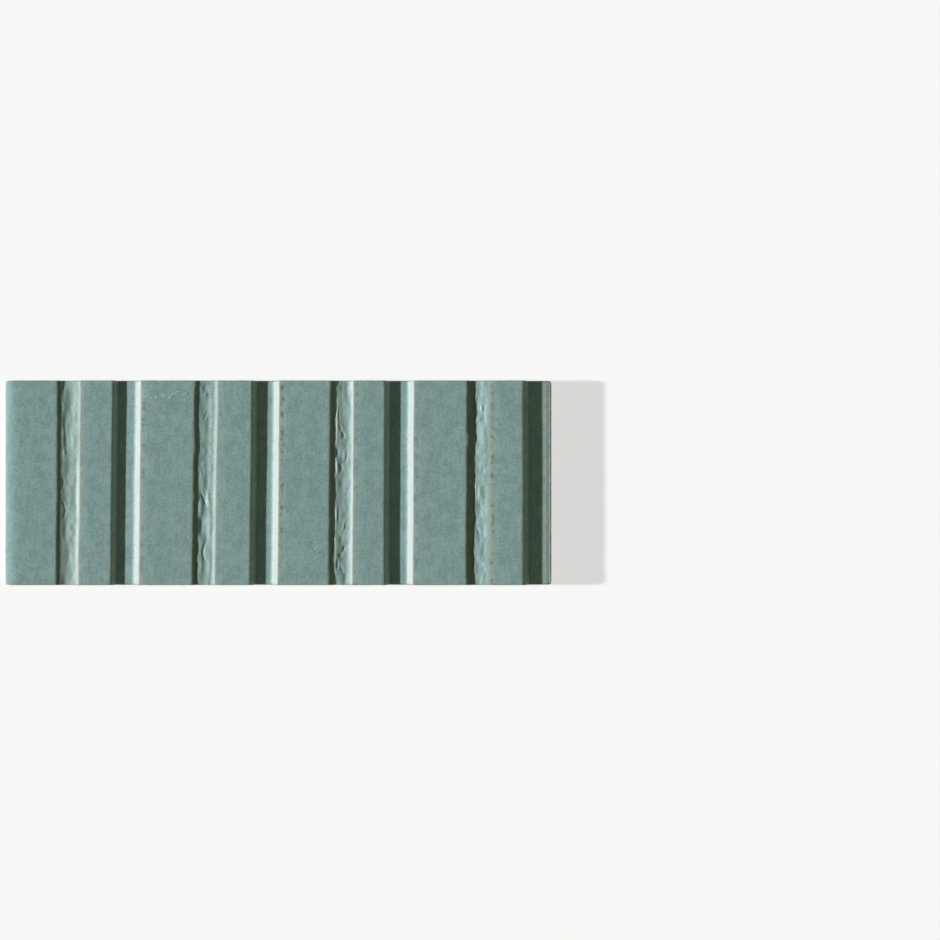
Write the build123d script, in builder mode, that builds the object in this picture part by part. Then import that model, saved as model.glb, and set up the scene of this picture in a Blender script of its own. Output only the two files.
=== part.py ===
from build123d import *
from math import asin, degrees
import os

# Format of the tile, in millimetres
tile_length = 200.0
tile_width = 75.0
tile_thickness = 10.0

# Pressed outline: the sides stand upright beside the face, then lean in towards the back
side_land = 1.0  # upright height below the lowest edge of the face
side_draft = 3.0  # degrees
corner_radius = 0.9
face_edge_radius = 0.5

# Fluting: each pitch holds a wide rib, a rough groove, a narrow rib and a smooth groove
flute_count = 4
narrow_rib_width = 12.2
rib_left_radius = 0.7
rib_right_radius = 1.5

# Shoulder: each rib's face rolls down a little towards its left edge
shoulder_drop = 0.2
shoulder_run = 2.0
shoulder_radius = 24.0

# Rough groove: a wall on its left, a dished floor, then a ramp that climbs to a step at the narrow rib
rough_groove_width = 8.6
rough_groove_depth = 1.2
rough_wall_run = 1.8
rough_wall_height = 0.95
rough_foot_radius = 0.8
ramp_run = 3.6  # from the lowest line to the narrow rib
ramp_foot_radius = 6.0
ramp_step_height = 0.85
ramp_step_run = 1.2
ramp_top_radius = 2.0

# Smooth groove: a flat floor between a steep left wall and a softer right one
smooth_groove_width = 10.2
smooth_groove_depth = 2.2
left_wall_run = 1.8
left_foot_radius = 0.5
right_wall_run = 2.3
right_foot_radius = 2.8

# Cushion: the first rib rolls down to the tile's left end
cushion_width = 4.8
cushion_drop = 0.8

# Ledge: the floor of the last smooth groove is open at the tile's right end and rolls down to it
ledge_width = 3.0
ledge_drop = 0.2

# Keyed back: shallow pockets in a lattice of ribs, for the adhesive
key_columns = 6
key_rows = 3
key_border_width = 5.0
key_rib_width = 4.0
key_depth = 0.6
key_wall_slope = 30.0  # degrees from upright
key_corner_radius = 2.0

# Sizes that follow from those above
flute_pitch = tile_length / flute_count
wide_rib_width = flute_pitch - rough_groove_width - narrow_rib_width - smooth_groove_width
left_end = -tile_length / 2
right_end = tile_length / 2
face_height = tile_thickness
shoulder_height = face_height - shoulder_drop
rough_foot_height = face_height - rough_wall_height
rough_floor_height = face_height - rough_groove_depth
ramp_top_height = face_height - ramp_step_height
smooth_floor_height = face_height - smooth_groove_depth
land_height = smooth_floor_height - ledge_drop - side_land
key_pitch_x = (tile_length - 2 * key_border_width + key_rib_width) / key_columns
key_pitch_y = (tile_width - 2 * key_border_width + key_rib_width) / key_rows
overrun = corner_radius  # how far the face section runs past the blank


def roll_arc(start, direction, width, drop):
    """Arc that leaves level ground at start and has fallen by drop at the tile's end, a width further on."""
    radius = (width**2 + drop**2) / (2 * drop)
    turn = degrees(asin((width + overrun) / radius))
    return JernArc(start, (direction, 0), radius, -direction * turn)


def shoulder_corners(start):
    """Corners of a rib's left edge and of the shoulder behind it."""
    return [
        ((start, shoulder_height), rib_left_radius),
        ((start + shoulder_run, face_height), shoulder_radius),
    ]


def flute_corners(start):
    """Corners of the face, each with its radius, from a wide rib's right edge to a smooth groove's floor."""
    rough_start = start + wide_rib_width
    narrow_start = rough_start + rough_groove_width
    smooth_start = narrow_start + narrow_rib_width
    return [
        ((rough_start, face_height), rib_right_radius),
        ((rough_start + rough_wall_run, rough_foot_height), rough_foot_radius),
        ((narrow_start - ramp_run, rough_floor_height), ramp_foot_radius),
        ((narrow_start - ramp_step_run, ramp_top_height), ramp_top_radius),
        *shoulder_corners(narrow_start),
        ((smooth_start, face_height), rib_right_radius),
        ((smooth_start + left_wall_run, smooth_floor_height), left_foot_radius),
    ]


def right_wall_corners(start):
    """Corners of the wall that closes a smooth groove and starts the wide rib after it."""
    return [
        ((start - right_wall_run, smooth_floor_height), right_foot_radius),
        *shoulder_corners(start),
    ]


# The last smooth groove has no right wall
face_corners = flute_corners(left_end)
for flute in range(1, flute_count):
    flute_start = left_end + flute * flute_pitch
    face_corners += right_wall_corners(flute_start)
    face_corners += flute_corners(flute_start)

with BuildPart() as tile:
    # Blank, largest at the land
    with BuildSketch(Plane.XY.offset(land_height)) as outline:
        RectangleRounded(tile_length, tile_width, corner_radius)
    extrude(amount=face_height - land_height)
    extrude(outline.sketch, amount=-land_height, taper=side_draft)

    # Fluted face: the section across the ribs, carried along them
    with BuildSketch(Plane.XZ):
        with BuildLine():
            cushion = roll_arc((left_end + cushion_width, face_height), -1, cushion_width, cushion_drop)
            ledge = roll_arc((right_end - ledge_width, smooth_floor_height), 1, ledge_width, ledge_drop)
            FilletPolyline(
                cushion @ 0,
                *[point for point, radius in face_corners],
                ledge @ 0,
                radius=[radius for point, radius in face_corners],
            )
            Polyline(
                ledge @ 1,
                ((ledge @ 1).X, -overrun),
                ((cushion @ 1).X, -overrun),
                cushion @ 1,
            )
        make_face()
    extrude(amount=tile_width, both=True, mode=Mode.INTERSECT)

    # Softened rim of the face
    upright_faces = tile.faces().filter_by(lambda face: abs(face.normal_at().Z) < 0.01)
    rim = upright_faces.edges().filter_by(
        lambda edge: edge.bounding_box().min.Z > land_height + side_land / 2
    )
    fillet(rim, face_edge_radius)

    # Keyed back
    with BuildSketch(Plane.XY):
        with GridLocations(key_pitch_x, key_pitch_y, key_columns, key_rows):
            RectangleRounded(
                key_pitch_x - key_rib_width, key_pitch_y - key_rib_width, key_corner_radius
            )
    extrude(amount=key_depth, taper=key_wall_slope, mode=Mode.SUBTRACT)

tile.part.label = "tile"

os.makedirs("parts", exist_ok=True)
export_step(tile.part, "parts/tile.step")
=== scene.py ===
import math

import bpy
import numpy as np
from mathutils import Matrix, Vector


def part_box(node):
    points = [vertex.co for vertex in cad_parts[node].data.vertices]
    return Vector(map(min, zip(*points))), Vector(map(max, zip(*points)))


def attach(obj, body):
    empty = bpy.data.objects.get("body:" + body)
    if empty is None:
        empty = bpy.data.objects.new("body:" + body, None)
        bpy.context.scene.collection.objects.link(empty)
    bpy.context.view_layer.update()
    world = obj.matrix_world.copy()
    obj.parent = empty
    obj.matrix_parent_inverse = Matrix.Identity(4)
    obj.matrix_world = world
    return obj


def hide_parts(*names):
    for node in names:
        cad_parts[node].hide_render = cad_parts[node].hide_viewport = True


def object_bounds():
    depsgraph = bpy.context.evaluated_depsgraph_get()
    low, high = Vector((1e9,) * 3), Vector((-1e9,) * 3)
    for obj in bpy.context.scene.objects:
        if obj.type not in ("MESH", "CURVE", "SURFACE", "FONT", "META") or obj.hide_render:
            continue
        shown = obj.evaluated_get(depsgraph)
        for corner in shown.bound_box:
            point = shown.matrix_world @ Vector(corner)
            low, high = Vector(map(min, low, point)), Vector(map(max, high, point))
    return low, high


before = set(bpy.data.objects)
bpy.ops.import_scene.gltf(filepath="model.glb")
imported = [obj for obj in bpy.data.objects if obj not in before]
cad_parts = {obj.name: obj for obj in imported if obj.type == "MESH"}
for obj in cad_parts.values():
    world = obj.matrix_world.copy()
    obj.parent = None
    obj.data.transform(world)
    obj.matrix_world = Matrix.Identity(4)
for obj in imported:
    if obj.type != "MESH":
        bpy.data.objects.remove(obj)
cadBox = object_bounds()
mm = 0.001
endless = 1000.0  # a cell so long that a noise stays the same along it
print("frame loaded")

# Fluted tile: one pressed, glazed and fired piece. Sizes in mm, x from the left end.
# A list of four has one value for each flute, left to right.
tile = {
    "piece": "fluted_tile",
    "node": "tile",
    "slot": "glazed_porcelain",
    "seeds": {"waves": 31, "endBead": 41, "lumps": 51, "wander": 71, "rim": 91, "foot": 111, "lips": 161},
    "footSeedStep": 10,
    "flutes": 4,
    "narrowRib": 12.2,
    "roughGroove": 8.6,
    "smoothGroove": 10.2,
    # how far each flute strays from an even pitch: rough groove, narrow rib, smooth groove, next wide rib
    "drift": [
        [-0.13, -0.22, -0.50, -0.65],
        [-0.24, -0.25, 0.40, -0.05],
        [-0.45, -0.37, -0.80, -0.75],
        [-0.45, -0.60, -0.10, 0.00],
    ],
    # how far the same edges lean sideways from the top edge to the bottom one
    "slant": [
        [-0.60, -0.80, -0.75, -0.80],
        [-0.92, -1.20, -0.85, -0.65],
        [-0.70, -0.45, -0.25, -0.45],
        [-0.25, -0.15, 0.15, 0.00],
    ],
    # rough grooves: foot of the left wall, lowest line and foot of the step, each run measured from the
    # nearer rib
    "footRun": [1.4, 1.7, 1.7, 2.9],
    "footDepth": [0.55, 0.78, 0.82, 1.28],
    "floorRun": [4.5, 3.6, 4.0, 3.8],
    "floorDepth": [1.10, 0.89, 1.08, 1.07],
    "stepRun": [1.3, 1.2, 1.3, 0.8],
    "stepDepth": [0.80, 0.66, 1.08, 0.42],
    # the foot of the left wall wanders sideways: cell along x, cell along y and reach, each groove's share of
    # it, and how it sets in past the rib and fades past the foot
    "footWander": [(endless, 7.0, 0.28), (endless, 2.6, 0.20), (endless, 1.1, 0.07)],
    "wanderShare": [0.8, 1.0, 1.0, 1.5],
    "wanderGrow": 0.8,
    "wanderFade": 2.2,
    # how far the painted shade reaches from each rough groove's left edge, over its shadowed left wall
    "shadeRun": [1.7, 2.2, 2.2, 4.0],
    # how far and how strongly each ramp, which faces the key light, is lightened as painted light, and how
    # brown the glaze broke behind each step and each smooth groove's wall
    "rampRun": [5.0, 3.6, 4.0, 3.8],
    "rampShare": [0.90, 0.75, 0.38, 0.07],
    "stepSpots": [0.25, 0.30, 0.45, 1.00],
    "wallSpots": [0.65, 1.10, 0.75],
    # how tan the same edges broke, how far a painted highlight colour reaches over the wall in front of each,
    # which faces the key light, and how strong it is, and a tan line in each smooth groove's left wall
    "stepTan": [0.80, 0.45, 0.90, 1.00],
    "wallTan": [1.00, 0.90, 0.90],
    "stepPale": [1.75, 1.70, 1.70, 1.30],
    "stepPaleShare": [0.75, 0.45, 0.70, 0.65],
    "wallPale": 2.05,
    "wallLine": [0.10, 0.10, 0.10, 0.25],
    # smooth grooves
    "smoothDepth": [1.735, 2.05, 2.06, 2.62],
    "floorRise": [0.45, 0.45, 0.45, 0.15],
    "leftWallRun": 1.8,
    "rightWallRun": 2.15,
    # painted shade: a dark line inside each smooth groove's left edge, where its shadow begins: offset, half
    # width and strength
    "edgeShade": [(0.05, 0.25, 0.5), (0.05, 0.25, 0.5), (0.05, 0.25, 0.5), (0.45, 0.50, 0.7)],
    # radii of the section's corners
    "ribLeft": 0.45,
    "ribRight": 1.5,
    "roughFoot": 0.8,
    "roughFloor": [12.0, 9.0, 12.0, 7.0],
    "stepFoot": [2.5, 2.5, 4.4, 2.0],
    "leftFoot": 0.5,
    "rightFoot": 2.6,
    # each rib rolls down a little towards its left edge
    "narrowDrop": [0.17, 0.16, 0.17, 0.27],
    "wideDrop": [0.22, 0.16, 0.16, 0.16],
    "shoulderRun": 2.5,
    "shoulder": 36.0,
    # ends of the face
    "cushionWidth": 4.8,
    "cushionDrop": 0.8,
    "ledgeWidth": 3.0,
    "ledgeDrop": 0.2,
    # low beads of glaze inside the ribs' right edges and at the right end, and a hollow beside that one:
    # height or depth, distance from the edge, half width
    "edgeBead": (0.02, 0.90, 0.40),
    "endBead": (0.16, 0.25, 0.35),
    "endHollow": (0.07, 1.15, 0.45),
    "endBeadEven": 0.6,  # the share of the end bead that stays the same along it
    "endBeadWander": [(endless, 2.2, 0.5), (endless, 0.9, 0.3)],
    # torn clay in the rough grooves: cell along x, cell along y, height
    "lumps": [(5.0, 13.0, 0.09), (2.2, 4.6, 0.10), (1.4, 2.3, 0.085), (0.8, 1.3, 0.018)],
    "lumpShare": [1.0, 0.9, 1.1, 1.3],
    "lumpStart": [2.0, 0.6, 0.6, 0.6],
    "lumpGrow": 1.2,
    "lumpFade": 2.0,  # before the narrow rib, as lumpEnd
    "lumpEnd": 0.3,
    "lipFade": 4.2,
    "lipWander": [(endless, 3.2, 0.16), (endless, 1.2, 0.08)],
    # slow waves of the whole face, and how far edges wander sideways
    "waves": [(10.0, 34.0, 0.025), (4.5, 10.0, 0.012)],
    "wander": [(9.0, 14.0, 0.10), (2.5, 3.0, 0.045)],
    "stillEnds": 6.0,  # so near the ends they wander less
    # rim, sides and grid
    "rim": 0.5,
    "cornerPull": 0.22,
    "cornerReach": 0.5,
    "rimSteps": 4,
    "rimWander": [(3.0, 3.0, 0.05), (1.2, 1.2, 0.03)],
    "sideLean": 0.45,
    "sideCurve": 0.6,  # below 1, the sides lean in most just under the face
    "sideLevels": [0.75, 0.5, 0.25, 0.0],
    "backBevel": 0.3,
    "rowSpacing": 0.41,
    "edgeSpacing": 0.22,
    "roughSpacing": 0.20,
    "ribSpacing": 1.3,
    "edgeBand": 0.6,
    "spacingGrowth": 0.5,
    "columnSamples": 20001,
    # keyed back
    "keyColumns": 6,
    "keyRows": 3,
    "keyBorder": 5.0,
    "keyRib": 4.0,
    "keyDepth": 0.6,
    "keyRadius": 2.0,
    "keySlope": 0.34,  # how far in the pockets' walls lean
    "keyFillet": 0.16,
    "keyBevel": 0.15,
    "keyEase": 0.04,
    "keyGrid": 6,
    "backInset": 2.2,
}

# Lips of torn clay in the rough grooves, in mm: x from the left end, distance from the top edge, half width
# of the climb, half length, rise and lean (x for each mm of length)
tile["lips"] = [
    (21.2, 21.8, 0.35, 4.4, 0.10, 0),
    (71.6, 33.9, 0.30, 3.2, 0.14, -0.03),
    (121.3, 17.0, 0.36, 7.5, 0.29, -0.02),
    (121.1, 31.0, 0.36, 3.2, 0.30, 0),
    (120.9, 49.1, 0.34, 3.0, 0.27, 0),
    (120.8, 61.3, 0.32, 9.5, 0.17, 0),
    (172.0, 39.7, 0.30, 3.2, 0.13, 0),
]

# Lumps and pits there: x, distance from the top edge, half width, half length, rise, lean and bend (x for
# each square mm of length)
tile["marks"] = [
    # first groove
    (21.3, -0.1, 1.46, 4.7, -0.34, -0.10, 0),
    (21.7, 9.4, 0.40, 1.8, 0.09, 0, 0),
    (22.3, 19.7, 0.51, 6.2, -0.13, 0.05, 0),
    (21.8, 26.4, 0.47, 0.9, 0.17, 0, 0),
    (24.8, 22.2, 0.58, 4.0, 0.07, 0.08, 0),
    (21.1, 37.6, 0.73, 1.8, -0.20, 0, 0),
    (22.6, 40.8, 0.77, 2.2, 0.13, -0.15, 0),
    (22.1, 47.1, 0.51, 3.3, -0.18, 0.12, -0.08),
    (26.0, 15.3, 0.88, 18.3, 0.10, 0, 0),
    # second groove
    (73.2, 2.8, 0.73, 1.8, -0.10, 0, 0),
    (73.5, 5.2, 0.44, 0.7, 0.17, 0, 0),
    (73.2, 13.3, 0.44, 1.2, -0.18, -0.50, 0),
    (72.2, 32.8, 0.44, 1.8, -0.15, 0.05, 0),
    (72.7, 43.4, 0.44, 2.2, -0.20, 0.45, 0),
    (72.9, 44.7, 0.47, 0.9, -0.14, 0.30, 0),
    (71.8, 46.3, 0.69, 2.2, 0.16, 0, 0),
    (74.3, 43.0, 0.55, 2.6, 0.20, 0.05, 0),
    (71.8, 53.3, 1.35, 3.3, -0.48, 0, 0),
    (75.2, 56.5, 0.51, 2.2, -0.09, -0.10, 0),
    (72.4, 62.8, 0.44, 3.3, -0.22, 0, 0.08),
    (73.6, 62.8, 0.73, 2.6, 0.10, 0, 0),
    (71.8, 67.9, 0.58, 2.9, 0.12, 0, 0),
    (75.1, 16.4, 0.90, 20.1, 0.06, -0.016, 0),
    (74.9, 54.0, 0.80, 19.0, 0.09, -0.016, 0),
    (73.4, 54.0, 0.80, 19.0, -0.07, -0.016, 0),
    # third groove
    (123.2, 5.4, 0.44, 3.7, -0.09, 0, 0),
    (122.2, 12.0, 0.40, 2.9, -0.15, -0.03, 0),
    (122.7, 17.8, 0.40, 1.8, -0.20, 0.35, 0),
    (123.7, 20.0, 0.58, 1.3, -0.28, 0, 0),
    (121.4, 26.4, 0.69, 1.8, -0.30, 0, 0),
    (122.7, 31.9, 0.73, 1.5, -0.26, 0, 0),
    (124.1, 27.3, 0.66, 1.8, 0.16, 0, 0),
    (125.0, 28.1, 0.37, 2.2, -0.13, -0.25, 0),
    (122.0, 49.1, 0.44, 2.6, -0.16, 0, 0),
    (123.9, 53.4, 0.40, 1.5, 0.15, -0.30, 0),
    (124.5, 52.9, 0.37, 1.3, -0.12, -0.20, 0),
    (123.9, 61.7, 0.51, 0.9, -0.26, -0.30, 0),
    (122.5, 63.9, 0.66, 0.6, -0.26, -0.60, 0),
    (121.6, 67.5, 0.40, 1.6, -0.18, 0, 0),
    (123.2, 69.0, 0.40, 1.8, -0.14, 0.40, 0),
    # fourth groove
    (172.4, 15.3, 1.40, 9.0, -0.15, 0, 0),
    (173.3, 30.0, 1.60, 4.0, 0.06, 0, 0),
    (173.3, 40.1, 1.60, 5.0, 0.20, 0, 0),
    (173.3, 51.1, 1.60, 4.0, 0.09, 0, 0),
    (173.3, 62.0, 1.60, 4.0, 0.22, 0, 0),
    (173.3, 70.4, 1.60, 2.5, 0.06, 0, 0),
    (172.2, 6.9, 0.44, 1.1, 0.16, 0, 0),
    (174.3, 10.2, 0.40, 1.1, 0.25, 0, 0),
    (173.4, 14.1, 0.47, 0.9, 0.17, 0, 0),
    (174.1, 31.7, 0.44, 1.2, 0.13, 0, 0),
    (172.8, 40.5, 0.40, 2.2, -0.16, 0, 0),
    (174.7, 43.4, 0.69, 1.5, 0.10, 0, 0),
    (174.0, 46.1, 0.44, 0.9, -0.12, 0.50, 0),
    (173.0, 55.1, 0.47, 1.1, -0.16, 0.40, 0),
    (174.9, 56.2, 0.40, 0.8, -0.10, 0, 0),
    (172.2, 68.6, 0.47, 1.8, 0.11, 0, 0),
]


latticeSize = 512
latticeShift = 128  # so that places left of 0 do not wrap round


def smoothStep(low, high, value):
    # 0 below low, 1 above high, 3t2 - 2t3 between
    t = np.clip((value - low) / (high - low), 0, 1)
    return t * t * (3 - 2 * t)


def plateau(value, start, full, fade, end):
    # 0 up to start, 1 from full to fade, 0 from end on: one smooth step up times one down
    return smoothStep(start, full, value) * (1 - smoothStep(fade, end, value))


def bell(value, halfWidth):
    # e to the power of minus the square of value over half width
    return np.exp(-(value / halfWidth) ** 2)


def smoothNoise(x, y, cellX, cellY, seed):
    # random values from -1 to 1 on a lattice, blended between its points by smooth steps along x and along y
    lattice = np.random.default_rng(seed).uniform(-1, 1, (latticeSize, latticeSize))
    column, row = np.broadcast_arrays(x / cellX + latticeShift, y / cellY + latticeShift)
    i = np.floor(column).astype(int)
    j = np.floor(row).astype(int)
    s = smoothStep(0, 1, column - i)
    t = smoothStep(0, 1, row - j)
    left = i % latticeSize
    right = (i + 1) % latticeSize
    lower = j % latticeSize
    upper = (j + 1) % latticeSize
    low = lattice[left, lower] * (1 - s) + lattice[right, lower] * s
    high = lattice[left, upper] * (1 - s) + lattice[right, upper] * s
    return low * (1 - t) + high * t


def layeredNoise(x, y, layers, seed):
    # sum of smooth noises, each with its own cell and height
    return sum(rise * smoothNoise(x, y, cellX, cellY, seed + layer)
               for layer, (cellX, cellY, rise) in enumerate(layers))


def roundedLine(points, radii, steps=7):
    # a polyline with arcs for inner corners: each starts and ends radius * tan(half the turn) from its corner
    before = points[1:-1] - points[:-2]
    after = points[2:] - points[1:-1]
    before /= np.linalg.norm(before, axis=1)[:, None]
    after /= np.linalg.norm(after, axis=1)[:, None]
    cross = before[:, 0] * after[:, 1] - before[:, 1] * after[:, 0]
    turn = np.arctan2(cross, (before * after).sum(axis=1))
    inward = np.stack([-before[:, 1], before[:, 0]], axis=1) * np.sign(turn)[:, None]
    start = points[1:-1] - before * (radii * np.tan(np.abs(turn) / 2))[:, None]
    angle = np.linspace(0, 1, steps)[None, :] * np.abs(turn)[:, None]
    along = (radii[:, None] * np.sin(angle))[:, :, None] * before[:, None, :]
    across = (radii[:, None] * (1 - np.cos(angle)))[:, :, None] * inward[:, None, :]
    arcs = (start[:, None, :] + along + across).reshape(-1, 2)
    return np.concatenate([points[:1], arcs, points[-1:]])


def fluteEdges(spec, length):
    # where each rough groove, narrow rib, smooth groove and next wide rib starts: an even pitch plus drift
    pitch = length / spec["flutes"]
    wideRib = pitch - spec["roughGroove"] - spec["narrowRib"] - spec["smoothGroove"]
    starts = np.array([wideRib, wideRib + spec["roughGroove"], pitch - spec["smoothGroove"], pitch])
    return (pitch * np.arange(spec["flutes"])[:, None] + starts + np.array(spec["drift"])).T


def faceSection(spec, length, thickness, edges):
    # the face across its ribs: corners as x and depth, joined by lines and rounded by arcs
    rough, narrow, smooth, wide = edges
    run = spec["shoulderRun"]
    cornerX = np.stack([
        rough, rough + spec["footRun"], narrow - spec["floorRun"], narrow - spec["stepRun"],
        narrow, narrow + run, smooth, smooth + spec["leftWallRun"],
        wide - spec["rightWallRun"], wide, wide + run,
    ], axis=1)
    flat = np.zeros(spec["flutes"])
    depth = np.stack([
        flat, spec["footDepth"], spec["floorDepth"], spec["stepDepth"],
        spec["narrowDrop"], flat, flat, np.add(spec["smoothDepth"], spec["floorRise"]),
        spec["smoothDepth"], spec["wideDrop"], flat,
    ], axis=1)
    names = ["ribRight", "roughFoot", "roughFloor", "stepFoot", "ribLeft", "shoulder",
             "ribRight", "leftFoot", "rightFoot", "ribLeft", "shoulder"]
    radius = np.stack([flat + spec[name] for name in names], axis=1)
    # the last smooth groove is open at the right end, so the three corners of its right wall are left off
    openEnd = 3
    corners = np.stack([cornerX.reshape(-1), thickness - depth.reshape(-1)], axis=1)[:-openEnd]
    radii = radius.reshape(-1)[:-openEnd]
    end = [length, thickness - spec["smoothDepth"][-1]]
    line = roundedLine(np.concatenate([[[0, thickness]], corners, [end]]), radii)
    return line[:, 0], line[:, 1]


def footShift(spec, x, y, edges):
    # how far to one side the section is read near the rough grooves' left walls, so that their feet wander
    shift = 0
    for groove, start in enumerate(edges[0]):
        foot = start + spec["footRun"][groove]
        near = plateau(x, start, start + spec["wanderGrow"], foot, foot + spec["wanderFade"])
        seed = spec["seeds"]["foot"] + spec["footSeedStep"] * groove
        sway = layeredNoise(0 * x, y, spec["footWander"], seed)
        shift = shift + spec["wanderShare"][groove] * near * sway
    return shift


def faceColumns(spec, length, edges):
    # x of the grid's columns: close together in rough grooves and on edges, and wider apart in proportion to
    # the distance from the nearest edge
    rough, narrow, smooth, wide = edges
    fineX = np.linspace(spec["rim"], length - spec["rim"], spec["columnSamples"])
    feet = [smooth + spec["leftWallRun"], wide - spec["rightWallRun"]]
    lines = np.concatenate([rough, narrow, smooth, wide, *feet])
    away = np.abs(fineX[:, None] - lines[None, :]).min(axis=1)
    spacing = spec["edgeSpacing"] + spec["spacingGrowth"] * (away - spec["edgeBand"])
    spacing = np.clip(spacing, spec["edgeSpacing"], spec["ribSpacing"])
    inRough = ((fineX[:, None] > rough) & (fineX[:, None] < narrow)).any(axis=1)
    spacing = np.where(inRough, np.minimum(spacing, spec["roughSpacing"]), spacing)
    count = np.concatenate([[0], np.cumsum(np.diff(fineX) / spacing[1:])])
    return np.interp(np.linspace(0, count[-1], int(count[-1]) + 1), count, fineX)


def tornLips(spec, faceX, top):
    # lips of torn clay: a smooth climb across each one that fades away behind it, and a crest where the glaze
    # is thin, a bell across each one
    rise = 0
    crest = 0
    wander = layeredNoise(0 * faceX, top, spec["lipWander"], spec["seeds"]["lips"])
    for lipX, fromTop, halfWidth, halfLength, height, lean in spec["lips"]:
        past = top - fromTop
        across = faceX - lipX - lean * past - wander
        ends = np.exp(-(past / halfLength) ** 4)
        climb = smoothStep(-halfWidth, halfWidth, across) * np.exp(-np.maximum(across, 0) / spec["lipFade"])
        rise = rise + height * climb * ends
        crest = crest + bell(across, halfWidth) * ends
    return rise, crest


def faceRelief(spec, x, y, faceX, top, length, edges):
    # what the pressing and the glaze add to the section: rolls at the ends that fall with the square of the
    # distance, bells for the beads, noises for waves and lumps, and marks that are bells across and e to
    # minus the fourth power along
    rough, narrow, smooth = edges[:3]
    seeds = spec["seeds"]
    fromEnd = length - x
    cushion = np.clip(1 - x / spec["cushionWidth"], 0, 1) ** 2 * spec["cushionDrop"]
    ledge = np.clip(1 - fromEnd / spec["ledgeWidth"], 0, 1) ** 2 * spec["ledgeDrop"]
    rise = layeredNoise(x, y, spec["waves"], seeds["waves"]) - cushion - ledge
    uneven = spec["endBeadEven"] + layeredNoise(0 * x, y, spec["endBeadWander"], seeds["endBead"])
    height, inset, halfWidth = spec["endBead"]
    rise = rise + height * uneven * bell(fromEnd - inset, halfWidth)
    depth, inset, halfWidth = spec["endHollow"]
    rise = rise - depth * bell(fromEnd - inset, halfWidth)
    height, inset, halfWidth = spec["edgeBead"]
    for edge in np.concatenate([rough, smooth]):
        rise = rise + height * bell(x - edge + inset, halfWidth)
    clay = layeredNoise(x, y, spec["lumps"], seeds["lumps"])
    for start, stop, share, run in zip(rough, narrow, spec["lumpShare"], spec["lumpStart"]):
        grow = start + run
        inside = plateau(x, grow, grow + spec["lumpGrow"], stop - spec["lumpFade"], stop - spec["lumpEnd"])
        rise = rise + share * inside * clay
    for markX, fromTop, halfWidth, halfLength, height, lean, bend in spec["marks"]:
        past = top - fromTop
        across = (faceX - markX - lean * past - bend * past ** 2) / halfWidth
        rise = rise + height * np.exp(-across ** 2 - (past / halfLength) ** 4)
    return rise


def ringGrid(u, v, columns, rows):
    # grid points numbered from 0 with rings of points outside them: the inner point each hangs from, how many
    # rings out it lies along x and y, its ring, and its direction, which turns from x to y at a corner
    innerU = np.clip(u, 0, columns - 1)
    innerV = np.clip(v, 0, rows - 1)
    outX, outY = np.meshgrid(np.abs(u - innerU), np.abs(v - innerV), indexing="ij")
    signX, signY = np.meshgrid(np.sign(u - innerU), np.sign(v - innerV), indexing="ij")
    ring = np.maximum(outX, outY)
    share = np.minimum(outX, outY) / np.maximum(ring, 1) * math.pi / 4
    swing = np.where(outX >= outY, share, math.pi / 2 - share)
    return {
        "inner": np.ix_(innerU, innerV),
        "outX": outX,
        "outY": outY,
        "ring": ring,
        "stepX": np.cos(swing) * signX,
        "stepY": np.sin(swing) * signY,
    }


def gridFaces(index):
    # one quad for each cell of a grid of vertex numbers
    corners = [index[:-1, :-1], index[1:, :-1], index[1:, 1:], index[:-1, 1:]]
    return np.stack([c.reshape(-1) for c in corners], axis=1)


def gridLoop(index):
    # vertex numbers once round a grid's border, from its first corner
    return np.concatenate([index[:-1, 0], index[-1, :-1], index[:0:-1, -1], index[0, :0:-1]])


def loopShare(points, loop):
    # how far round a rectangular loop each point lies: the number of its side plus the share of that side
    x = points[loop, 0]
    y = points[loop, 1]
    right = int(np.argmax(x - y))
    upper = int(np.argmax(x + y))
    left = int(np.argmax(y - x))
    steps = np.hypot(np.diff(x, append=x[0]), np.diff(y, append=y[0]))
    lengths = np.concatenate([[0], np.cumsum(steps)])
    corners = lengths[[0, right, upper, left, len(loop)]]
    return np.interp(lengths, corners, [0, 1, 2, 3, 4])


def bridgeLoops(points, outer, inner):
    # triangles between two loops: at each step round, whichever loop's next point comes first moves on
    outerShare = loopShare(points, outer)
    innerShare = loopShare(points, inner)
    nearInner = np.searchsorted(innerShare[1:], outerShare[1:], side="left") % len(inner)
    nearOuter = np.searchsorted(outerShare[1:], innerShare[1:], side="right") % len(outer)
    fromOuter = np.stack([np.roll(outer, -1), outer, inner[nearInner]], axis=1)
    fromInner = np.stack([inner, np.roll(inner, -1), outer[nearOuter]], axis=1)
    return np.concatenate([fromOuter, fromInner])
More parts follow.
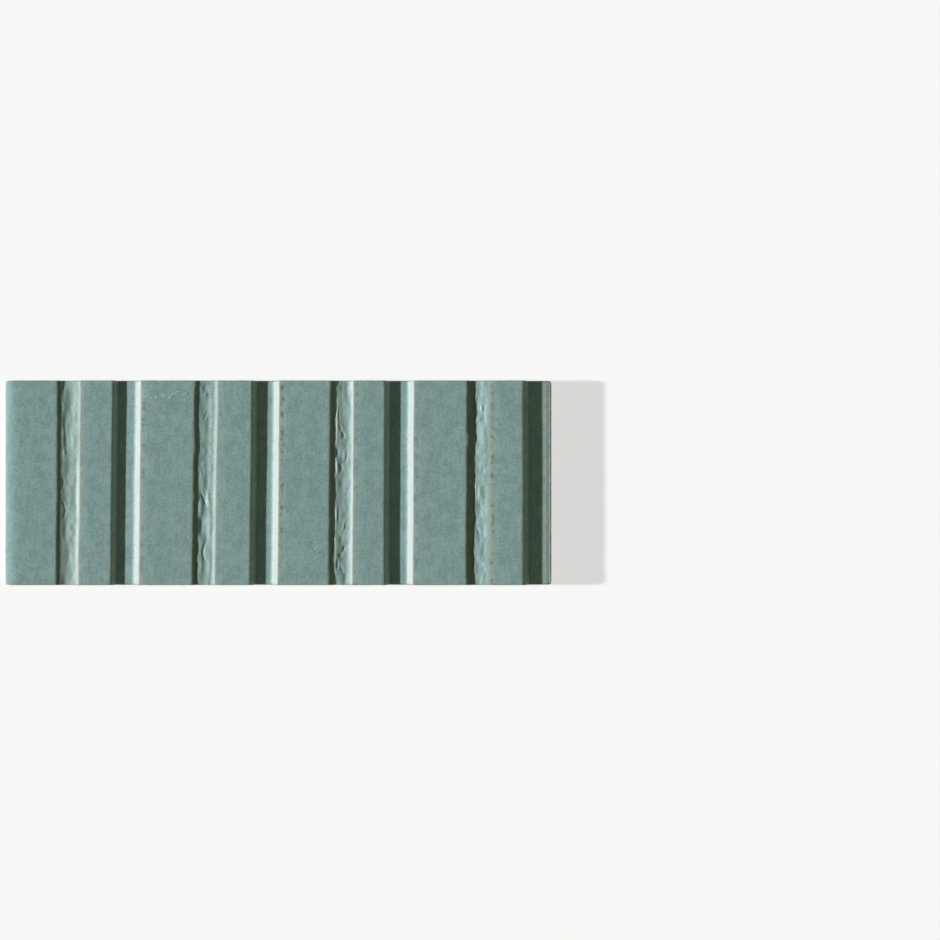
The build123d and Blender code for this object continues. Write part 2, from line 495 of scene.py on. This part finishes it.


# Where the glaze is thin and where highlight, light and shade are painted, in mm past the edge that it
# follows. Four values are where a band starts, is full, fades and ends.
colourRuns = {
    # tan: a line and a fainter band behind each rib's left edge, lines at the right edges and in the smooth
    # grooves' left walls (place and half width), torn lips, and the ledge (share, start and full, from the
    # right end)
    "leftLine": (0.35, 0.50),
    "leftBand": (0.2, 0.8, 1.2, 3.0),
    "leftBandShare": 0.35,
    "rightLine": (-0.25, 0.40),
    "rightShare": 0.6,
    "wallLine": (0.45, 0.25),
    "lipShare": 0.8,
    "ledge": [(0.7, -4.5, -3.5), (0.3, -1.2, -0.6)],
    # brown spots behind each left edge
    "spots": (0.2, 0.8, 1.3, 2.2),
    # painted highlight colour, greyer, on the wall in front of each left edge, which faces the key light:
    # full at this share of its run, gone so far past the edge
    "paleFull": 0.4,
    "paleEnd": 0.5,
    "wallPaleShare": 1.0,
    # painted light: a lightening over the ramps of the rough grooves, which face the key light
    "rampGrow": 1.0,
    "rampEnd": (-0.3, 0.2),
    # painted shade: strength and half width at the feet of the smooth grooves' left walls, and the rough
    # grooves' own over their shadowed left walls
    "footShade": (0.6, 0.5),
    "shadeGrow": 0.7,
    "shadeFade": 0.7,  # as a share of its run
    # raw clay past the feet of the rough grooves' left walls
    "rawGrow": 1.0,
    "rawEnd": (4.0, 6.5),
}


def edgeMaps(spec, runs, x, length, edges, lipCrest):
    # how thin, spotted or raw the glaze is, and where highlight, light and shade are painted: sums of bells
    # and plateaus along the edges
    rough, narrow, smooth, wide = edges
    walls = len(wide) - 1
    leftEdges = np.concatenate([narrow, wide[:-1]])

    thin = runs["lipShare"] * lipCrest
    place, halfWidth = runs["leftLine"]
    for edge, share in zip(leftEdges, spec["stepTan"] + spec["wallTan"]):
        beside = runs["leftBandShare"] * plateau(x - edge, *runs["leftBand"])
        thin = thin + share * (bell(x - edge - place, halfWidth) + beside)
    place, halfWidth = runs["rightLine"]
    for edge in np.concatenate([rough, smooth]):
        thin = thin + runs["rightShare"] * bell(x - edge - place, halfWidth)
    place, halfWidth = runs["wallLine"]
    for edge, share in zip(smooth, spec["wallLine"]):
        thin = thin + share * bell(x - edge - place, halfWidth)
    for share, start, full in runs["ledge"]:
        thin = thin + share * smoothStep(start, full, x - length)

    spots = 0
    for edge, share in zip(leftEdges, spec["stepSpots"] + spec["wallSpots"]):
        spots = spots + share * plateau(x - edge, *runs["spots"])

    # painted highlight colour over the walls that face the key light
    pale = 0
    paleRuns = spec["stepPale"] + [spec["wallPale"]] * walls
    paleShares = spec["stepPaleShare"] + [runs["wallPaleShare"]] * walls
    for edge, run, share in zip(leftEdges, paleRuns, paleShares):
        pale = pale + share * plateau(x - edge, -run, -runs["paleFull"] * run, 0, runs["paleEnd"])

    # painted light over the ramps, which face the key light
    ramp = 0
    for edge, run, share in zip(narrow, spec["rampRun"], spec["rampShare"]):
        ramp = ramp + share * plateau(x - edge, -run, runs["rampGrow"] - run, *runs["rampEnd"])

    # painted shade in the grooves' shadowed left walls and creases
    grooveShade = 0
    strength, halfWidth = runs["footShade"]
    for edge, (place, lineWidth, share) in zip(smooth, spec["edgeShade"]):
        grooveShade = grooveShade + strength * bell(x - edge - spec["leftWallRun"], halfWidth)
        grooveShade = grooveShade + share * bell(x - edge - place, lineWidth)
    for edge, run in zip(rough, spec["shadeRun"]):
        grooveShade = grooveShade + plateau(x - edge, 0, runs["shadeGrow"], runs["shadeFade"] * run, run)

    raw = 0
    for edge, run in zip(rough, spec["footRun"]):
        raw = raw + plateau(x - edge, run, run + runs["rawGrow"], *runs["rawEnd"])
    return {
        "thinGlaze": np.clip(thin, 0, 1),
        "spotBand": spots,
        "paleHighlight": pale,
        "paintedShade": grooveShade,
        "rawClay": raw,
        "rampLight": ramp,
    }


def buildFace(spec, runs, length, width, thickness):
    # the glazed face, its rolled rim and the sides, as one grid with rings: the section's height at each
    # place plus the relief, and the maps of the glaze and of the painted light and shade
    edges = fluteEdges(spec, length)
    sectionX, sectionZ = faceSection(spec, length, thickness, edges)
    columns = faceColumns(spec, length, edges)
    rim = spec["rim"]
    rows = np.linspace(-1, 1, int((width - 2 * rim) / spec["rowSpacing"]) + 1) * (width / 2 - rim)
    x = columns[:, None]
    y = rows[None, :]
    top = width / 2 - y
    ends = plateau(x, 0, spec["stillEnds"], length - spec["stillEnds"], length)
    leanX = np.concatenate([[0], edges.T.reshape(-1)])
    lean = np.interp(x, leanX, np.concatenate([[0], np.ravel(spec["slant"])]))
    faceX = x + layeredNoise(x, y, spec["wander"], spec["seeds"]["wander"]) * ends - lean * y / width
    # the tile's corners are drawn in, more the nearer they are
    nearEnd = np.minimum(x - rim, length - rim - x)
    nearSide = width / 2 - rim - np.abs(y)
    corner = spec["cornerPull"] * np.exp(-(nearEnd + nearSide) / spec["cornerReach"])
    faceX = faceX + corner * np.sign(length / 2 - x)
    faceY = y - corner * np.sign(y)
    height = np.interp(x + footShift(spec, x, y, edges), sectionX, sectionZ)
    lipRise, lipCrest = tornLips(spec, faceX, top)
    height = height + faceRelief(spec, x, y, faceX, top, length, edges) + lipRise

    # rings past the face: a quarter turn for the rim, then the side down to the back
    quarter = np.linspace(0, math.pi / 2, spec["rimSteps"] + 1)[1:]
    levels = np.array(spec["sideLevels"])
    bevel = spec["backBevel"]
    ringOut = np.concatenate([[0], rim * np.sin(quarter), rim + 0 * levels, [rim - bevel]])
    ringDrop = np.concatenate([[0], rim * (1 - np.cos(quarter)), 0 * levels, [0]])
    ringLevel = np.concatenate([[1], 1 + 0 * quarter, levels, [0]])
    rings = len(ringOut) - 1
    u = np.arange(-rings, len(columns) + rings)
    v = np.arange(-rings, len(rows) + rings)
    grid = ringGrid(u, v, len(columns), len(rows))
    inner = grid["inner"]
    ring = grid["ring"]
    foot = np.where(ring == rings, 0, bevel)
    side = foot + (height[inner] - rim - bevel) * ringLevel[ring]
    z = np.where(ringLevel[ring] == 1, height[inner] - ringDrop[ring], side)
    flatX = faceX[inner] + ringOut[ring] * grid["stepX"] - length / 2
    flatY = faceY[inner] + ringOut[ring] * grid["stepY"]
    # sides draw in towards the back, and the rim is pressed a little unevenly
    draw = spec["sideLean"] * np.clip(1 - z / thickness, 0, 1) ** spec["sideCurve"]
    uneven = np.abs(layeredNoise(flatX + flatY, flatY - flatX + z, spec["rimWander"], spec["seeds"]["rim"]))
    pull = np.where(ring > 0, draw + uneven * np.minimum(ring / spec["rimSteps"], 1), 0)
    points = np.stack([flatX - pull * grid["stepX"], flatY - pull * grid["stepY"], z], axis=-1)

    # the glaze's maps end at the foot of the rim, and the rim has one of its own
    onFace = ring <= spec["rimSteps"]
    maps = edgeMaps(spec, runs, x, length, edges, lipCrest)
    maps = {name: (values + 0 * y)[inner] * onFace for name, values in maps.items()}
    maps["rimWear"] = np.where((ring > 0) & onFace, 1.0, 0.0)
    return points, maps


def keyedBack(spec, length, width):
    # lattice of shallow pockets: each cell has a floor grid, rings for the sloped wall and a square border
    inner = spec["keyGrid"]
    radius = spec["keyRadius"]
    depth = spec["keyDepth"]
    ease = spec["keyEase"]
    wallFoot = radius - spec["keySlope"]
    ringOut = np.array([0, wallFoot - spec["keyFillet"], wallFoot, radius, radius + spec["keyBevel"], 0])
    ringZ = np.array([depth, depth, depth - ease, ease, 0, 0])
    rings = len(ringOut) - 1
    span = inner + 2 * rings - 1
    cells = np.array([spec["keyColumns"], spec["keyRows"]])
    size = np.array([length, width])
    pitch = (size - 2 * spec["keyBorder"] + spec["keyRib"]) / cells
    reach = (pitch - spec["keyRib"]) / 2 - radius
    axes = []
    for axis in range(2):
        number = np.arange(cells[axis] * span + 1)
        cell = np.minimum(number // span, cells[axis] - 1)
        local = number - cell * span - rings
        centre = (cell - (cells[axis] - 1) / 2) * pitch[axis]
        outermost = size[axis] / 2 - spec["backInset"]
        low = np.where(cell == 0, -outermost, centre - pitch[axis] / 2)
        high = np.where(cell == cells[axis] - 1, outermost, centre + pitch[axis] / 2)
        place = centre + (np.clip(local, 0, inner - 1) / (inner - 1) * 2 - 1) * reach[axis]
        axes.append((local, place, np.where(local < 0, low, high)))
    (u, placeX, limitX), (v, placeY, limitY) = axes
    grid = ringGrid(u, v, inner, inner)
    ring = grid["ring"]
    border = ring == rings
    borderX = (limitX - placeX)[:, None] * grid["outX"] / rings
    borderY = (limitY - placeY)[None, :] * grid["outY"] / rings
    x = placeX[:, None] + np.where(border, borderX, ringOut[ring] * grid["stepX"])
    y = placeY[None, :] + np.where(border, borderY, ringOut[ring] * grid["stepY"])
    return np.stack([x, y, ringZ[ring]], axis=-1)


def gridIndex(points, first):
    # numbers of a grid's points, from first on
    return np.arange(points.shape[0] * points.shape[1]).reshape(points.shape[:2]) + first


low, high = (np.array(corner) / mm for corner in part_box(tile["node"]))
length, width, thickness = high - low
facePoints, colourMaps = buildFace(tile, colourRuns, length, width, thickness)
backPoints = keyedBack(tile, length, width)
faceIndex = gridIndex(facePoints, 0)
backIndex = gridIndex(backPoints, faceIndex.size)
points = np.concatenate([facePoints.reshape(-1, 3), backPoints.reshape(-1, 3)])
quads = np.concatenate([gridFaces(faceIndex), gridFaces(backIndex)[:, ::-1]])
bridge = bridgeLoops(points, gridLoop(faceIndex), gridLoop(backIndex))

mesh = bpy.data.meshes.new(tile["piece"])
mesh.from_pydata((points * mm).tolist(), [], quads.tolist() + bridge.tolist())
mesh.shade_smooth()
for name, values in colourMaps.items():
    attribute = mesh.attributes.new(name, "FLOAT", "POINT")
    attribute.data.foreach_set("value", np.concatenate([values.reshape(-1), np.zeros(backIndex.size)]))
mesh.update()
body = bpy.data.objects.new(tile["piece"], mesh)
bpy.context.collection.objects.link(body)
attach(body, "root")
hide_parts(tile["node"])
print("tile mesh", len(points), "points", 2 * len(quads) + len(bridge), "triangles")


class Wire:
    # an output socket: sums, differences and products of wires and numbers add Math nodes
    def __init__(self, tree, socket=None):
        self.tree = tree
        self.socket = socket

    def node(self, kind, settings, sockets, output=0):
        # any node: its settings first, then the values or links of its sockets
        made = self.tree.nodes.new(kind)
        for key, value in settings.items():
            setattr(made, key, value)
        for key, value in sockets.items():
            named = [s for s in made.inputs if key in (s.identifier, s.name)]
            slot = made.inputs[key] if isinstance(key, int) else named[0]
            if isinstance(value, Wire):
                self.tree.links.new(value.socket, slot)
            else:
                slot.default_value = value
        if isinstance(output, str):
            return Wire(self.tree, [s for s in made.outputs if output in (s.identifier, s.name)][0])
        return Wire(self.tree, made.outputs[output])

    def math(self, operation, first, second):
        return self.node("ShaderNodeMath", {"operation": operation}, {0: first, 1: second})

    def __add__(self, other):
        return self.math("ADD", self, other)

    def __sub__(self, other):
        return self.math("SUBTRACT", self, other)

    def __rsub__(self, other):
        return self.math("SUBTRACT", other, self)

    def __mul__(self, other):
        return self.math("MULTIPLY", self, other)

    __radd__ = __add__
    __rmul__ = __mul__

    def step(self, low, high):
        # 0 below low, 1 above high, smooth between
        sockets = {"Value": self, "From Min": low, "From Max": high}
        return self.node("ShaderNodeMapRange", {"interpolation_type": "SMOOTHSTEP"}, sockets)

    def mixed(self, first, second, blend="MIX"):
        # first colour where this wire is 0, second, or their blend, where it is 1
        sockets = {"Factor_Float": self, "A_Color": first, "B_Color": second}
        return self.node("ShaderNodeMix", {"data_type": "RGBA", "blend_type": blend}, sockets, "Result_Color")


# Glaze: semi-matt grey teal that breaks to tan where it is thin, over a bare pale body low on the sides and
# behind
glaze = {
    "deep": (0.143, 0.241, 0.238, 1),
    "light": (0.206, 0.320, 0.316, 1),
    # painted highlight colour for the walls that face the key light
    "pale": (0.222, 0.257, 0.252, 1),
    # painted light: a lightening for the ramps that face the key light
    "ramp": (1.40, 1.30, 1.28, 1),
    # painted shade for the grooves' shadowed walls and creases
    "grooveShade": (0.072, 0.108, 0.082, 1),
    "raw": (0.196, 0.268, 0.246, 1),
    "tan": (0.285, 0.312, 0.268, 1),
    "brown": (0.105, 0.135, 0.108, 1),
    "speck": (0.085, 0.110, 0.092, 1),
    "body": (0.400, 0.370, 0.315, 1),
    "bodyDark": (0.310, 0.280, 0.230, 1),
    "flake": (0.330, 0.480, 0.465, 1),
    # noises: cell in mm and detail, some of them stretched along x, y and z
    "cloud": (5.0, 4.0),
    "streak": (2.2, 2.0, (2.0, 0.5, 1.0)),
    "grain": (0.6, 2.0),
    "patch": (1.8, 3.0, (1.0, 0.7, 1.0)),
    "spot": (1.8, 2.0, (0.9, 1.0, 1.0)),
    "cluster": (9.0, 1.0),
    "edgeWave": (5.0, 3.0),
    "clay": (1.2, 4.0),
    "peel": (1.8, 1.0),
    "bareGrain": (0.4, 3.0),
    # how strongly each one shows, and between which values
    "cloudTone": 1.2,
    "streakTone": 1.1,
    "grainTone": 2.3,
    "rawSteps": (0.35, 0.65),
    "rawShare": 0.7,
    # how strongly the painted shade shows
    "shadeShare": 0.9,
    "tanSteps": (0.30, 0.62),
    "tanShare": 0.8,
    "tanRim": 0.55,
    "spotSteps": (0.48, 0.62),
    "spotShare": 0.9,
    "spotStain": 0.15,
    "spotRim": 0.3,
    "clusterSteps": (0.38, 0.58),
    "clusterLeast": 0.5,
    "claySteps": (0.3, 0.75),
    # edge of the glaze above the bare body, in mm
    "glazeEdge": 4.6,
    "glazeEdgeWave": 1.6,
    "glazeEdgeBlur": 0.15,
    "roughness": 0.56,
    "cloudRoughness": 0.10,
    "tanRoughness": 0.06,
    "bareRoughness": 0.3,
    # fine relief, in mm
    "peelHeight": 0.020,
    "grainHeight": 0.013,
    "bareHeight": 0.06,
    # specks and pale flakes on the ribs, in mm from the middle of the tile: x, y, radius. Each is solid out
    # to a share of its radius.
    "dotCore": 0.2,
    "dotShare": 0.85,
    "specks": [
        (-94.4, 23.0, 0.45), (-33.0, 32.5, 0.55), (-38.3, 31.4, 0.50), (-15.1, 32.5, 0.45),
        (12.0, -21.6, 0.50), (12.7, -24.2, 0.50), (14.9, -25.5, 0.45), (61.2, 6.5, 0.45),
        (38.0, -9.0, 0.35),
    ],
    "flakes": [
        (-49.1, 31.4, 0.45), (-46.4, 31.1, 0.45), (-45.0, 31.3, 0.50), (-42.2, 31.9, 0.70),
        (-39.8, 31.3, 0.65), (-38.8, 32.5, 0.60), (-37.5, 33.0, 0.45), (-36.6, 33.3, 0.45),
        (-35.2, 32.3, 0.45), (-34.0, 32.6, 0.50), (13.4, -24.1, 0.55), (14.2, -25.1, 0.40),
    ],
}


def noise(start, place, cell, detail, stretch=(1, 1, 1)):
    # noise whose features are about one cell wide, in mm
    scaled = start.node("ShaderNodeVectorMath", {"operation": "MULTIPLY"}, {0: place, 1: stretch})
    return start.node("ShaderNodeTexNoise", {}, {"Vector": scaled, "Scale": 1 / cell, "Detail": detail})


def glazeMaterial(look, faceHeight):
    # the coats and the painted light and shade one over another, each mixed in by its map, then the bare body
    # below the glaze's edge
    noiseMean = 0.5
    material = bpy.data.materials.new("glazed_porcelain")
    material.use_nodes = True
    shader = material.node_tree.nodes["Principled BSDF"]
    start = Wire(material.node_tree)
    place = start.node("ShaderNodeTexCoord", {}, {}, "Object")
    place = start.node("ShaderNodeVectorMath", {"operation": "SCALE"}, {0: place, "Scale": 1 / mm})
    up = start.node("ShaderNodeSeparateXYZ", {}, {"Vector": place}, "Z")
    # maps of the glaze, and of painted highlight, light and shade
    mapNames = ["thinGlaze", "spotBand", "rimWear", "paleHighlight", "paintedShade", "rawClay", "rampLight"]
    thin, band, rim, pale, paintedShade, raw, ramp = (
        start.node("ShaderNodeAttribute", {"attribute_name": name}, {}, "Fac") for name in mapNames
    )

    # cloudy colour
    cloud = noise(start, place, *look["cloud"])
    streak = noise(start, place, *look["streak"])
    grain = noise(start, place, *look["grain"])
    tone = (cloud - noiseMean) * look["cloudTone"] + (streak - noiseMean) * look["streakTone"]
    tone = tone + (grain - noiseMean) * look["grainTone"] + noiseMean
    colour = tone.step(0.0, 1.0).mixed(look["deep"], look["light"])
    colour = (raw * cloud.step(*look["rawSteps"]) * look["rawShare"]).mixed(colour, look["raw"])
    # painted light: the ramps, which face the key light, are lightened
    colour = ramp.mixed(colour, look["ramp"], "MULTIPLY")
    # painted highlight colour: greyer on the walls that face the key light, so their highlights come out
    # white
    colour = pale.mixed(colour, look["pale"])
    # painted shade: darker in the grooves' shadowed left walls and creases
    colour = (paintedShade * look["shadeShare"]).mixed(colour, look["grooveShade"])

    # tan breaks and brown spots along thin edges
    patch = noise(start, place, *look["patch"])
    tan = (thin * look["tanShare"] + rim * look["tanRim"]) * patch.step(*look["tanSteps"])
    colour = tan.mixed(colour, look["tan"])
    spot = noise(start, place, *look["spot"]).step(*look["spotSteps"])
    cluster = noise(start, place, *look["cluster"]).step(*look["clusterSteps"])
    cluster = cluster * (1 - look["clusterLeast"]) + look["clusterLeast"]
    brown = (band + rim * look["spotRim"]) * (spot * cluster * look["spotShare"] + look["spotStain"])
    colour = brown.mixed(colour, look["brown"])
    dots = [(dot, "speck") for dot in look["specks"]] + [(dot, "flake") for dot in look["flakes"]]
    for (x, y, radius), name in dots:
        sockets = {0: place, 1: (x, y, faceHeight)}
        away = start.node("ShaderNodeVectorMath", {"operation": "DISTANCE"}, sockets, "Value")
        dot = 1 - away.step(look["dotCore"] * radius, radius)
        colour = (dot * look["dotShare"]).mixed(colour, look[name])

    # bare body below an uneven edge of the glaze
    wave = (noise(start, place, *look["edgeWave"]) - noiseMean) * look["glazeEdgeWave"]
    edge = look["glazeEdge"]
    blur = look["glazeEdgeBlur"]
    bare = 1 - (up + wave).step(edge - blur, edge + blur)
    clay = noise(start, place, *look["clay"]).step(*look["claySteps"])
    colour = bare.mixed(colour, clay.mixed(look["body"], look["bodyDark"]))

    roughness = look["roughness"] + (cloud - noiseMean) * look["cloudRoughness"]
    roughness = roughness + tan * look["tanRoughness"] + bare * look["bareRoughness"]
    peel = noise(start, place, *look["peel"])
    bareGrain = noise(start, place, *look["bareGrain"])
    relief = peel * look["peelHeight"] + grain * look["grainHeight"] + bare * bareGrain * look["bareHeight"]
    bump = start.node("ShaderNodeBump", {}, {"Height": relief, "Strength": 1.0, "Distance": mm}, "Normal")
    links = material.node_tree.links
    links.new(colour.socket, shader.inputs["Base Color"])
    links.new(roughness.socket, shader.inputs["Roughness"])
    links.new(bump.socket, shader.inputs["Normal"])
    return material


mesh.materials.append(glazeMaterial(glaze, thickness))
print("glaze ready")

# Stage: pale floor, raking key light from the left, dim even fill
stage = {
    "floorSize": 4.0,
    "floorColor": (0.30, 0.30, 0.30, 1),
    "floorRoughness": 0.9,
    "floorGlowColor": (1.0, 1.0, 1.0, 1),
    "floorGlow": 0.62,  # a light table: it lifts the tile's own shadow
    "keyElevation": 20.0,
    "keyAngle": 2.5,
    "keyColor": (1.0, 1.0, 1.0),
    "keyStrength": 7.35,
    "fillColor": (1.0, 1.0, 0.68, 1),
    "fillStrength": 0.13,
    "bounceElevation": 30.0,
    "bounceAngle": 50.0,
    "bounceColor": (1.0, 1.0, 0.74),
    "bounceStrength": 0.42,
    "lens": 400.0,
    "sensor": 36.0,
    "photoScale": 2.7375,
    "frameSize": 940,
    "tileCentrePx": (278.4, 482.8),
}

bpy.ops.mesh.primitive_plane_add(size=stage["floorSize"], location=(0, 0, 0))
floor = bpy.context.object
floor.name = "floor"
floorMaterial = bpy.data.materials.new("pale_floor")
floorMaterial.use_nodes = True
floorShader = floorMaterial.node_tree.nodes["Principled BSDF"]
floorShader.inputs["Base Color"].default_value = stage["floorColor"]
floorShader.inputs["Roughness"].default_value = stage["floorRoughness"]
floorShader.inputs["Emission Color"].default_value = stage["floorGlowColor"]
floorShader.inputs["Emission Strength"].default_value = stage["floorGlow"]
floor.data.materials.append(floorMaterial)


def addSun(name, strength, color, angle, tilt):
    # a sun that shines straight down, then is tilted about y: towards +x for a negative tilt
    sun = bpy.data.lights.new(name, "SUN")
    sun.energy = strength
    sun.color = color
    sun.angle = math.radians(angle)
    holder = bpy.data.objects.new(name, sun)
    holder.rotation_euler = (0, math.radians(tilt), 0)
    bpy.context.collection.objects.link(holder)


addSun("key", stage["keyStrength"], stage["keyColor"], stage["keyAngle"], stage["keyElevation"] - 90)
bounceTilt = 90 - stage["bounceElevation"]
addSun("bounce", stage["bounceStrength"], stage["bounceColor"], stage["bounceAngle"], bounceTilt)

world = bpy.data.worlds.new("fill")
bpy.context.scene.world = world
world.use_nodes = True
background = world.node_tree.nodes["Background"]
background.inputs["Color"].default_value = stage["fillColor"]
background.inputs["Strength"].default_value = stage["fillStrength"]
bpy.context.scene.view_settings.view_transform = "Standard"

# Camera straight above, far off behind a long lens, framed as the photograph
camera = bpy.data.cameras.new("camera")
camera.lens = stage["lens"]
camera.sensor_width = stage["sensor"]
frameWidth = stage["frameSize"] / stage["photoScale"] * mm
distance = frameWidth / 2 / (stage["sensor"] / 2 / stage["lens"])
middle = stage["frameSize"] / 2
offsetX = (middle - stage["tileCentrePx"][0]) / stage["photoScale"] * mm
offsetY = (stage["tileCentrePx"][1] - middle) / stage["photoScale"] * mm
viewer = bpy.data.objects.new("camera", camera)
viewer.location = (offsetX, offsetY, distance + cadBox[1][2])
bpy.context.collection.objects.link(viewer)
bpy.context.scene.camera = viewer
print("stage ready")
